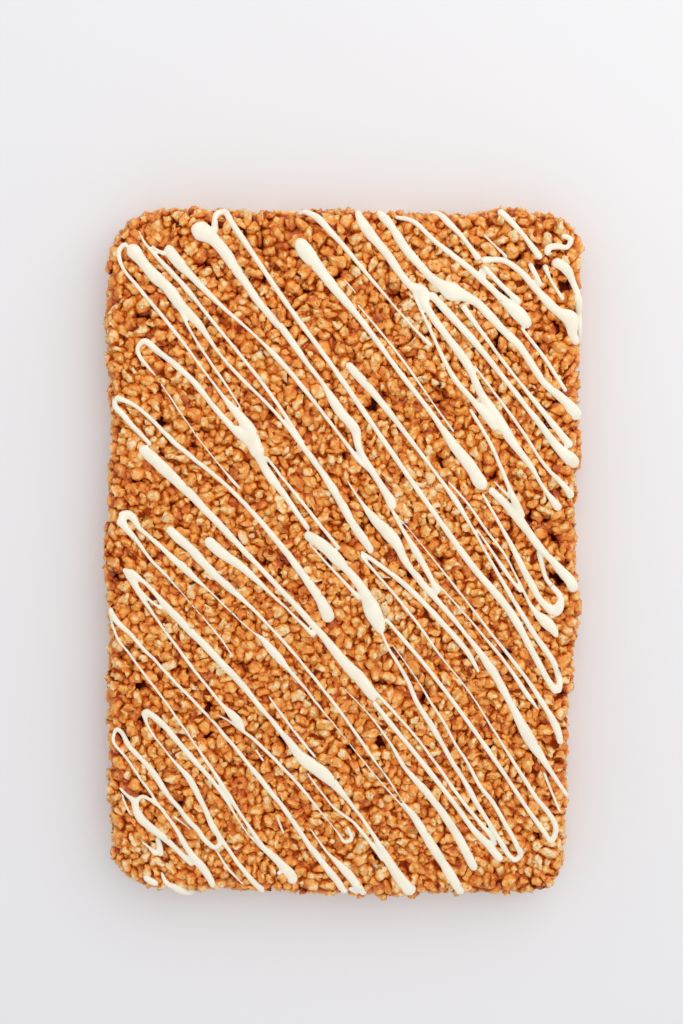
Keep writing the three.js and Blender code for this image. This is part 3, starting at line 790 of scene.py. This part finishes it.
MIDDLE_LEGS = (
    (-105.5, 20.5, 6.3, -102, 15.5, 4, -95.2, 6.7, 2.6, -91.8, 1.6, 2.2, -83.7, -6.8, 1.7, -76, -16.3, 0.9,
     -67.5, -26.6, 0.8, -59, -37.2, 1.4, -52.5, -47.5, 0.8),
    (-105.5, 20.5, 6.3, -101, 21.8, 5.5, -95, 14.8, 3, -86, 6.6, 3, -80, 0.5, 4, -75.3, -3.3, 4.8,
     -70, -8.7, 3.2, -66, -12.3, 1.8, -54.3, -24, 1.1, -48.2, -30.3, 1.1, -42.8, -35, 1.3, -38.5, -38.5, 3,
     -34.6, -43.5, 5, -26, -53.5, 3, -11, -72.5, 1.2, 13, -103.5, 1, 30.5, -124.5, 1.3),
    (-82.5, 16, 4.5, -79, 12, 5.5, -71.5, 5, 5.3, -66, -1, 5.2, -60.5, -7.3, 5, -55, -12.5, 4.5,
     -48, -18.8, 3, -20.5, -49.5, 2, -0.5, -76, 2, 16, -100.5, 1.5, 22.4, -110, 1.3, 28.7, -120, 1.4,
     31.5, -124, 4, 34.8, -129.2, 5.3, 41.2, -140, 5.6, 47.8, -151, 5.8, 53.2, -160, 5.3, 56.3, -165.3, 4.8),
    (-64.5, 10.5, 6.5, -60.5, 6, 6.8, -55, 1.5, 6, -48.6, -2.8, 5, -40, -10.6, 3, -32, -18.6, 1.9,
     -24, -26.6, 1.8, -13.5, -37.5, 3),
    (-105.5, 77, 3.5, -105.5, 73.5, 3.5, -101.8, 69, 3.5, -97.4, 63.5, 3.2, -89, 54.5, 2.5),
    (-94.5, 54, 7, -90, 49.8, 7.6, -84.5, 44.5, 7, -77, 37, 6, -69.5, 29.3, 4.8, -56.5, 15.2, 4,
     -31.8, -12, 3.3, -13.8, -32.4, 4.3, 0.7, -50.4, 6.3, 10.5, -61.5, 7.2, 13.5, -66, 6, 15, -68.5, 4),
    (13.8, -69, 3, 22, -80, 3.2, 30.2, -90.3, 3, 37.6, -100, 3.2, 45, -109.7, 3, 52.7, -120, 3,
     59.6, -130, 3.4, 63.8, -135.3, 4, 68.3, -140, 4.8, 72.3, -145, 5, 75.5, -148.8, 4.5),
    (14.5, -64, 1.8, 22.6, -73, 2, 29, -80.5, 1.6, 36.8, -90, 1.6, 43.7, -100, 1.9, 50.4, -110, 2.2,
     57.5, -120, 2.4, 65.4, -130, 2.6, 69.3, -135, 2.6, 73, -141, 2.6),
    (0, -62.7, 0.9, 13.8, -78, 1.2, 22.6, -91, 2, 29.3, -102.5, 3, 34.8, -109, 4, 40.3, -115.5, 4.4,
     50.2, -129.7, 5, 56.6, -141, 5.8, 62.7, -153.5, 4.5),
    (-105.5, 77.5, 3.5, -100, 75.3, 3, -76.7, 54.3, 2.8, -51.8, 32.7, 2.6, -35.2, 14.2, 3.4, -15.6, -12.2, 5,
     -10.3, -20.5, 6.5, -7.9, -26, 7.2, -6.1, -31, 6.5),
    (-86, 86.5, 1, -89.5, 91, 1.8, -93.3, 96, 2.3, -94.5, 99.5, 2.5, -92, 103, 3.3, -84, 97.5, 3.7,
     -69.5, 85, 3.5, -58, 70.5, 3.5, -49.5, 61.3, 5, -41.2, 54.5, 9, -37.7, 48, 7),
    (-84, 83.5, 0.9, -65, 55, 0.7, -57, 44.5, 0.8, -50.5, 36.5, 1.6, -47.5, 33, 1.2),
    (-97.5, 148, 3, -100, 147.3, 3, -102, 144.5, 3, -101.6, 140.5, 2.5, -99.5, 135.8, 2.2, -94.5, 129.5, 2.2,
     -80, 111.5, 2.2, -55, 77, 2.5, -42.5, 60, 7.5, -39.5, 52, 6.5, -36, 43, 5, -33, 38.5, 5, -28.6, 32.7, 4,
     -23.2, 24.8, 3.2, -15.5, 13.5, 3),
    (-97.5, 147.5, 5, -95.3, 145, 8, -92.5, 141.5, 7, -86, 133.5, 7.2, -80.5, 128.5, 6.6, -73, 118.5, 6.4,
     -65.5, 110.5, 4.5, -59.8, 102, 2.5, -56.5, 97.3, 1.6, -50.5, 90, 2.2, -30.5, 69, 2, -15.5, 50, 3.3,
     -4, 33, 4.5, 7.2, 13, 5, 13, 4.5, 5, 14, 1.8, 4),
    (-75, 119, 1.8, -67.5, 104, 1.7, -52.3, 80.5, 1.4, -46.5, 71, 1),
    (-93, 154.5, 1, -89.5, 148, 1.6, -86.5, 144.5, 2, -83.5, 141, 2.6, -70.5, 126.5, 3, -61.5, 115, 2.3,
     -30.3, 74.3, 2.3, -17.5, 54.3, 2.2),
    (-79.3, 147.5, 5, -78, 144, 7, -74.5, 139.5, 6.5, -69.5, 134, 5, -56.5, 120.5, 3, -41.2, 106.7, 1.8,
     -30.7, 96.2, 3, -11, 72.3, 2.4, 0, 57.5, 2, 4.5, 51.5, 2.5, 8.4, 46.3, 3, 12.5, 42, 2, 19, 31.5, 1.5,
     26.5, 17, 2, 35.2, 2, 4.2, 44.2, -15.3, 3.5, 45.2, -18, 4),
    (-68.3, 155, 7, -64.5, 153.8, 10.5, -59.8, 151.2, 8.5, -53.5, 144.7, 6.8, -48.4, 136.8, 5.8,
     -43.3, 129.3, 4.6, -38.5, 122, 4.6, -32, 114, 4.4, -25.5, 106.5, 4.2, -20, 98.7, 4, -14.7, 91, 3,
     -10, 85, 2.5, 0, 69, 6, 7, 60, 5.5, 8.2, 53, 4, 14.7, 41, 3.8, 21, 30.5, 5, 23.4, 26.3, 5.6,
     23.9, 22.5, 4.6),
    (-57, 152, 4.5, -57.3, 157, 4.2, -56.5, 161, 4, -53, 162.3, 4, -49.3, 157, 3.8, -24, 119, 3,
     -2.8, 89.3, 3, 21.8, 52.8, 3.1, 47.7, 15, 3.3, 61.3, -4.2, 4, 79.8, -27.3, 4.6, 91.3, -48.5, 3.8,
     97.8, -60.5, 4, 101.8, -66.5, 4),
    (-35.7, 49, 1.7, -15.7, 23, 2, -1, 4, 2.5),
    (-18, 12, 5, -12, 8.5, 6.5, -5.5, 2.6, 7.5, 2.4, -6, 5, 9.6, -15.3, 6, 14.5, -26.5, 9.5, 17, -32.5, 7,
     18.5, -36.5, 4),
    (20, -29, 2.5, 41.3, -55, 2.5, 68.7, -93.5, 2.7, 95.5, -134, 3, 99.3, -139, 3.3, 101, -135.5, 3.4,
     90.3, -115, 2.8, 81.2, -100, 2.2, 75.2, -90, 1.8, 69, -80, 1.4, 63, -70, 1.2, 56, -60, 1.2,
     48, -50, 1.3, 35.2, -31.5, 1.8, 8.5, 1.5, 1.8),
    (18, -35.5, 1.6, 21.7, -44, 1.8, 25.4, -50, 2, 30.7, -60, 2.6, 34.6, -69.5, 3, 41, -80, 3.3,
     46.5, -90, 3, 52, -100, 3, 58, -110, 3, 63.3, -120, 3, 69.4, -130, 2.8, 75.4, -140, 2.8, 79, -146, 3.2,
     81.7, -148.3, 3.2, 84.3, -145.8, 3.5, 82.2, -140, 3, 76.9, -130, 2.8, 71.2, -120, 2.6, 64.1, -110, 2.4,
     59, -100, 2, 52.8, -90, 1.8, 47.8, -80, 1.8, 41.5, -70, 1.6, 35.6, -60, 1.2, 29, -50, 1,
     23, -41.5, 0.8),
    (-16, 7.5, 1.2, -6, -4, 1.5, 8.5, -20, 3),
    (8.5, 3, 2.5, 26, -10, 3, 47, -31.5, 3.4, 61, -49, 3, 64.5, -56, 1.8),
    (2.5, 37, 0.8, 11.5, 23.3, 3, 16.3, 17.3, 6, 21, 12.5, 7, 26, 6.2, 6.5, 29.4, -1, 4.5, 36.3, -10.6, 4,
     51, -28, 3.3, 58.5, -37.5, 2.5, 71, -55, 5.5, 79.3, -70.5, 4, 89.3, -89.5, 6.8, 95.7, -99.5, 4,
     107.5, -118, 2.5),
    (95.5, -105, 1.6, 103.5, -125, 1.3),
    (43, -11, 1.2, 53.5, -22.5, 1.2, 67, -38.5, 1.8, 80, -55.3, 2.4, 89, -69, 2.6, 93.3, -74.7, 1.3),
    (23, 24, 0.6, 43, -1, 1.2, 68.5, -34.5, 1.8, 93, -68, 3, 102.5, -86, 4.4, 103.7, -91.5, 3.5),
)
RIGHT_LEGS = (
    (-18.5, 160, 1.5, -17, 161.7, 2.3, -12, 160.3, 3.5, -3, 151.7, 3.5, 16.5, 128.7, 2, 38, 104, 2,
     43, 99, 3),
    (8.7, 162.5, 3, 10.8, 156.7, 5.4, 13.5, 152.8, 6.5, 17, 148.5, 5.7, 23.5, 140.5, 5, 28.5, 133, 4.6,
     33, 127.5, 4.5, 38.5, 123.7, 8, 40, 118.5, 5, 43.5, 112.5, 4.3, 49, 105, 4.4, 60.2, 89.3, 5,
     65.3, 77.8, 4.6, 68.5, 72.5, 5.5, 77, 59.5, 6.5, 81, 53.3, 5, 89.2, 42.5, 3.4, 96, 31, 2.4,
     100, 25.5, 4.5, 103, 21.5, 5),
    (34, 124, 1.2, 41.8, 107.5, 2, 54.5, 82.5, 3, 63.5, 72, 4, 74, 60, 6),
    (42, 124, 5, 64, 99.5, 3.8, 80, 79.5, 3, 94, 61.5, 3.8, 104, 49, 6, 109, 44.5, 8, 111.5, 41.5, 6),
    (18, 162, 5, 23.5, 156, 5, 31.3, 144, 5.2, 37.7, 136.5, 5, 42.5, 131, 5, 47, 127.5, 6, 53, 124, 10,
     58.5, 122, 7, 64, 119, 5.5, 70, 113, 5, 76.5, 106, 4.8, 83.5, 99, 4.5, 96, 81, 4.3, 106, 72, 5.5,
     110, 67, 7, 112, 64, 6),
    (57, 118, 3.3, 74.5, 94, 2, 88.5, 76, 2.5, 108.5, 51, 5),
    (62.5, 90, 1.5, 84.5, 60, 2, 97, 41.3, 2.5, 106, 31.5, 4, 109, 27, 5.5),
    (60.5, 70, 2, 70.3, 53, 2.5, 78, 35, 2.6, 81, 27.5, 4, 85.5, 17.5, 5),
    (-19, 149.5, 6.5, -17.3, 146.5, 8.7, -10, 136.7, 7, 0, 124, 5.3, 8.5, 113.7, 4, 26.3, 89.3, 3,
     47.5, 61, 4, 53.5, 52, 6, 58, 46.5, 7, 62, 41, 7.5, 64.8, 36, 8, 68, 32, 6),
    (69.5, 32.5, 4.5, 80, 22, 5, 88, 11.5, 5.5, 93, 4.5, 5, 99.3, -2.4, 4.3, 104, -7.8, 6, 108, -12.5, 7,
     110.2, -18, 6),
    (66.3, 30, 1.6, 79.6, 6, 2.8, 89.1, -12.8, 4.2, 95.5, -23, 4.8, 101, -26.5, 8, 103.5, -22, 5,
     96.7, -11, 3.2, 93, 3, 3.5),
    (8.5, 119, 0.8, 28.5, 94, 1.5, 44.5, 71, 0.9, 53, 59, 1.2),
    (71.5, 36, 1, 80, 27, 2),
    (3, 92, 5, 17, 76, 4.3, 30.5, 58.5, 3, 45, 39, 2, 53.5, 27, 3.5, 61, 14.5, 2, 74, -9, 2.3,
     90.5, -37, 3.3, 101.6, -55, 4, 103, -61, 4, 101.8, -66.5, 4),
    (50, 36, 1.2, 58, 27, 1.5, 68.5, 12, 1.8, 77, 0.5, 1.6, 84, -13, 1.6, 91.7, -27.3, 3.6, 96.7, -32, 7,
     100.2, -36, 5, 101.8, -39.5, 2.5),
    (63.5, 13.5, 1, 73, -1, 2.2, 79.8, -11, 2.4, 84.8, -17.5, 2),
    (26, 159, 2.3, 33, 157.5, 2.8, 44, 148, 3, 61.5, 134, 3.8, 77, 119.5, 5, 87, 109.5, 7, 88.5, 107, 5),
    (84.5, 107.5, 2, 93, 96.5, 2.3, 106, 77, 2.5),
    (42, 161.3, 2, 46.5, 160.3, 3, 51.3, 155.6, 3.8, 56.8, 150, 3, 62, 143.3, 3, 65.5, 138.5, 5),
    (65.5, 135, 3, 68, 130, 3),
    (67, 136, 3, 70, 132.5, 3, 77, 125.5, 3, 84.5, 118.3, 3.5),
    (66, 138.5, 4.5, 76, 138.5, 3.5, 84.5, 133, 3.5, 92, 124.5, 4.5, 102.5, 114, 6, 107.5, 111, 8,
     109, 103.5, 5, 111.5, 99, 4.5),
    (67, 150.5, 1, 78.5, 139.5, 1.8),
    (74, 161.5, 3.5, 80, 156, 3.5, 87, 148, 3, 94, 138.5, 4),
    (88.5, 137.5, 3, 91, 132, 3, 94, 126, 3),
    (95.5, 136.5, 4, 97.5, 131, 2, 104.5, 119.5, 3),
    (97, 140, 4, 97, 143.5, 4, 101, 144.5, 4, 106, 144, 3, 107.5, 147.5, 3, 103, 149.5, 3),
    (99, 138, 6, 104.5, 135, 6, 108.5, 129, 4, 111, 121, 4, 112.5, 101, 2),
    (-87, 147.5, 1, -83.5, 144.5, 2, -80, 143, 3),
    (2, 131, 0.8, 8, 124, 0.8),
)
POUR_TURN = math.radians(1.4)
POUR_SHIFT = np.array([0.7, 1.5])
POUR_STEP = 0.8
FEWEST_STEPS = 6
THINNEST = 0.7
POUR_SIDES = 12
POUR_SPREAD = 0.87
WIDTH_WOBBLE, WOBBLE_LENGTH = 0.14, 2.5

# How the pour lies: how far it sinks below the grains' tops, how high its crown stands, and how it bridges
# the gaps between grains. A wide leg is slacker than a narrow one, and follows the grains more closely.
POUR_SINK = 0.9
POUR_SETTLE = 0.25
CROWN_RISE, CROWN_SHARE = 0.65, 0.13
BLUNT_END = 0.03
SOUNDINGS = (-0.3, 0, 0.3)
TOP_SHARE, MEAN_SHARE = 0.85, 0.15
BRIDGE_STEPS = 3
BRIDGE_LENGTH, FOLLOW_LENGTH = 2.0, 1.6
STIFF_WIDTH, SLACK_WIDTH, MOST_SLACK = 2.2, 4.5, 0.42
EDGE_INSET = 1.2
EDGE_FALL = 2.2
SOUNDING_HEIGHT = 60
turn_x, turn_y = math.cos(POUR_TURN), math.sin(POUR_TURN)
pour_way = np.array([[turn_x, turn_y], [-turn_y, turn_x]])
bed = BVHTree.FromPolygons(np.concatenate(all_corners).tolist(), np.concatenate(all_triangles).tolist())


def poured_line(stations):
    """A smooth line through a leg's stations, with a width at every step."""
    points = np.array(stations, float).reshape(-1, 3)
    points[:, :2] = points[:, :2] @ pour_way + POUR_SHIFT - SHELL_MIDDLE
    gaps = np.linalg.norm(np.diff(points[:, :2], axis=0), axis=1)
    run = np.concatenate([[0], np.cumsum(gaps)])
    slope = np.diff(points, axis=0) / gaps[:, None]
    turns = (slope[:-1] * gaps[1:, None] + slope[1:] * gaps[:-1, None]) / (gaps[:-1] + gaps[1:])[:, None]
    tangent = np.concatenate([slope[:1], turns, slope[-1:]])
    at = np.linspace(0, run[-1], max(FEWEST_STEPS, int(run[-1] / POUR_STEP)))
    k = np.clip(np.searchsorted(run, at, side="right") - 1, 0, len(gaps) - 1)
    t = ((at - run[k]) / gaps[k])[:, None]
    line = (2 * t**3 - 3 * t**2 + 1) * points[k] + (3 * t**2 - 2 * t**3) * points[k + 1]
    line += gaps[k][:, None] * ((t**3 - 2 * t**2 + t) * tangent[k] + (t**3 - t**2) * tangent[k + 1])
    line[:, 2] = np.maximum(line[:, 2], THINNEST)
    return line


def bed_height(x, y):
    """The height of the grains under a place. It falls away past the edge, where the pour runs down."""
    place = np.array([x, y, SHELL_TOP])
    _, way, plan = skin(unsettled(place))
    flat_way = way[:2] / max(np.linalg.norm(way[:2]), TINY)
    beyond = max(plan + EDGE_INSET, 0)
    place[:2] -= flat_way * beyond
    hit = bed.ray_cast(Vector((place[0], place[1], SOUNDING_HEIGHT)), Vector((0, 0, -1)))[0]
    return (hit.z if hit else SHELL_TOP) - EDGE_FALL * beyond


def smoothed(values, reach):
    """Values along a leg, each blended with its neighbours over the given reach."""
    width = max(1, int(round(reach / POUR_STEP)))
    window = np.exp(-0.5 * (np.arange(-2 * width, 2 * width + 1) / width) ** 2)
    padded = np.pad(values, 2 * width, mode="edge")
    return np.convolve(padded, window / window.sum(), mode="valid")


def strand(stations):
    """The corners and faces of one leg, lying over the grains that it crosses."""
    line = poured_line(stations)
    x, y, width = line.T
    width = width * (POUR_SPREAD + WIDTH_WOBBLE * smoothed(chance.normal(size=len(x)), WOBBLE_LENGTH))
    heading = np.gradient(line[:, :2], axis=0)
    heading /= lengths(heading)
    aside = np.stack([-heading[:, 1], heading[:, 0]], axis=1)
    ground = []
    for i in range(len(x)):
        shifts = [sounding * width[i] for sounding in SOUNDINGS]
        spots = [bed_height(x[i] + aside[i, 0] * shift, y[i] + aside[i, 1] * shift) for shift in shifts]
        ground.append(max(spots) * TOP_SHARE + sum(spots) / len(spots) * MEAN_SHARE)
    ground = np.array(ground)
    spans = [ground[max(0, i - BRIDGE_STEPS) : i + BRIDGE_STEPS + 1].max() for i in range(len(ground))]
    bridged = smoothed(np.array(spans), BRIDGE_LENGTH)
    slack = np.clip((width - STIFF_WIDTH) / SLACK_WIDTH, 0, MOST_SLACK)
    ground = smoothed(ground, FOLLOW_LENGTH) * slack + bridged * (1 - slack)
    run = np.concatenate([[0], np.cumsum(np.linalg.norm(np.diff(line[:, :2], axis=0), axis=1))])
    to_end = np.minimum(run, run[-1] - run)
    tip = np.sqrt(np.clip(1 - (1 - to_end / (width * 0.5)).clip(0) ** 2, BLUNT_END, 1))
    crown = np.minimum(0.5 * width, CROWN_RISE + CROWN_SHARE * width) * tip
    angles = np.linspace(0, 2 * np.pi, POUR_SIDES, endpoint=False)
    sideways, upward = np.cos(angles), np.sin(angles)
    ring_height = np.where(upward > 0, upward * crown[:, None], upward * POUR_SINK * tip[:, None])
    rings = np.empty((len(x), POUR_SIDES, 3))
    rings[..., 0] = x[:, None] + aside[:, :1] * sideways * (width * tip / 2)[:, None]
    rings[..., 1] = y[:, None] + aside[:, 1:] * sideways * (width * tip / 2)[:, None]
    rings[..., 2] = ground[:, None] - POUR_SETTLE + ring_height
    corners = rings.reshape(-1, 3)
    faces = []
    for i in range(len(x) - 1):
        for k in range(POUR_SIDES):
            a, b = i * POUR_SIDES + k, i * POUR_SIDES + (k + 1) % POUR_SIDES
            faces.append((a, a + POUR_SIDES, b + POUR_SIDES, b))
    faces.append(tuple(range(POUR_SIDES)))
    faces.append(tuple(reversed(range(len(corners) - POUR_SIDES, len(corners)))))
    return corners, faces


def poured_piece(name, legs):
    corners, faces, start = [], [], 0
    for stations in legs:
        leg_corners, leg_faces = strand(stations)
        corners.append(leg_corners)
        faces += [tuple(i + start for i in face) for face in leg_faces]
        start += len(leg_corners)
    mesh = bpy.data.meshes.new(name)
    mesh.from_pydata((np.concatenate(corners) * MM).tolist(), [], faces)
    piece = bpy.data.objects.new(name, mesh)
    bpy.context.collection.objects.link(piece)
    activate(piece)
    mode("EDIT")
    bpy.ops.mesh.select_all(action="SELECT")
    bpy.ops.mesh.normals_make_consistent(inside=False)
    mode("OBJECT")
    return piece


THREAD_WIDTH = 1.6
FUSE_CELL = 0.45
DRIZZLE_TRIANGLES = 190000
every_leg = LEFT_LEGS + MIDDLE_LEGS + RIGHT_LEGS
thin = [leg for leg in every_leg if max(leg[2::3]) <= THREAD_WIDTH]
thick = [leg for leg in every_leg if leg not in thin]
drizzle = poured_piece("white_drizzle", thick)
apply_modifier(drizzle, "REMESH", mode="VOXEL", voxel_size=FUSE_CELL * MM)
apply_modifier(drizzle, "SMOOTH", factor=0.5, iterations=4)
apply_modifier(drizzle, "DECIMATE", ratio=min(1, DRIZZLE_TRIANGLES / (2 * len(drizzle.data.polygons))))
drizzle.data.validate()
bpy.ops.object.shade_smooth()
threads = poured_piece("drizzle_threads", thin)
bpy.ops.object.shade_smooth()

# Set white chocolate: cream coloured, a little cloudy, with a soft satin shine and light that sinks into it.
CHOCOLATE_CLOUDS = {"Scale": 90, "Detail": 3}
CHOCOLATE_STOPS = ((0.3, (0.89, 0.82, 0.66)), (0.7, (0.94, 0.88, 0.73)))
CHOCOLATE_FINISH = {
    "Roughness": 0.36,
    "Subsurface Weight": 0.25,
    "Subsurface Radius": (1.0, 0.85, 0.6),
    "Subsurface Scale": 0.0015,
}
CHOCOLATE_RIPPLE = {"Strength": 0.15, "Distance": 0.0008}
chocolate, nodes, links, shader = new_material("white_chocolate")
place = nodes.new("ShaderNodeTexCoord")
milky = set_up(nodes.new("ShaderNodeTexNoise"), CHOCOLATE_CLOUDS)
colour = ramp(nodes, CHOCOLATE_STOPS)
set_up(shader, CHOCOLATE_FINISH)
ripple = set_up(nodes.new("ShaderNodeBump"), CHOCOLATE_RIPPLE)
links.new(place.outputs["Object"], milky.inputs["Vector"])
links.new(milky.outputs["Fac"], colour.inputs["Fac"])
links.new(colour.outputs["Color"], shader.inputs["Base Color"])
links.new(milky.outputs["Fac"], ripple.inputs["Height"])
links.new(ripple.outputs["Normal"], shader.inputs["Normal"])
for piece in (drizzle, threads):
    piece.data.materials.append(chocolate)
    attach(piece, "root")
    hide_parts("treat_slab")


# The floor and the light: a plain pale sweep, a large soft window to the upper right, and a bright room.
FLOOR_SIZE = 6
FLOOR_DROP = 0.0002
FLOOR_FINISH = {"Base Color": (0.82, 0.81, 0.82, 1), "Roughness": 0.6}
WINDOW_PLACE = Vector((0.45, 0.65, 0.95))
WINDOW_SIZE = 1.4
WINDOW_POWER = 7.0
WINDOW_COLOUR = (1.0, 0.98, 0.95)
ROOM_LIGHT = {"Color": (0.97, 0.98, 1.0, 1), "Strength": 0.80}
bpy.ops.mesh.primitive_plane_add(size=FLOOR_SIZE, location=(0, 0, -FLOOR_DROP))
floor = bpy.context.object
floor.name = "pale_floor"
floor_paint, _, _, floor_shader = new_material("pale_floor_paint")
set_up(floor_shader, FLOOR_FINISH)
floor.data.materials.append(floor_paint)

bpy.ops.object.light_add(type="AREA", location=WINDOW_PLACE)
window = bpy.context.object
window.data.size = WINDOW_SIZE
window.data.energy = WINDOW_POWER
window.data.color = WINDOW_COLOUR
window.rotation_euler = (-WINDOW_PLACE).to_track_quat("-Z", "Y").to_euler()

room = bpy.data.worlds.new("bright_room")
room.use_nodes = True
set_up(room.node_tree.nodes["Background"], ROOM_LIGHT)
bpy.context.scene.world = room
bpy.context.scene.view_settings.view_transform = "Standard"
bpy.context.scene.view_settings.look = "None"
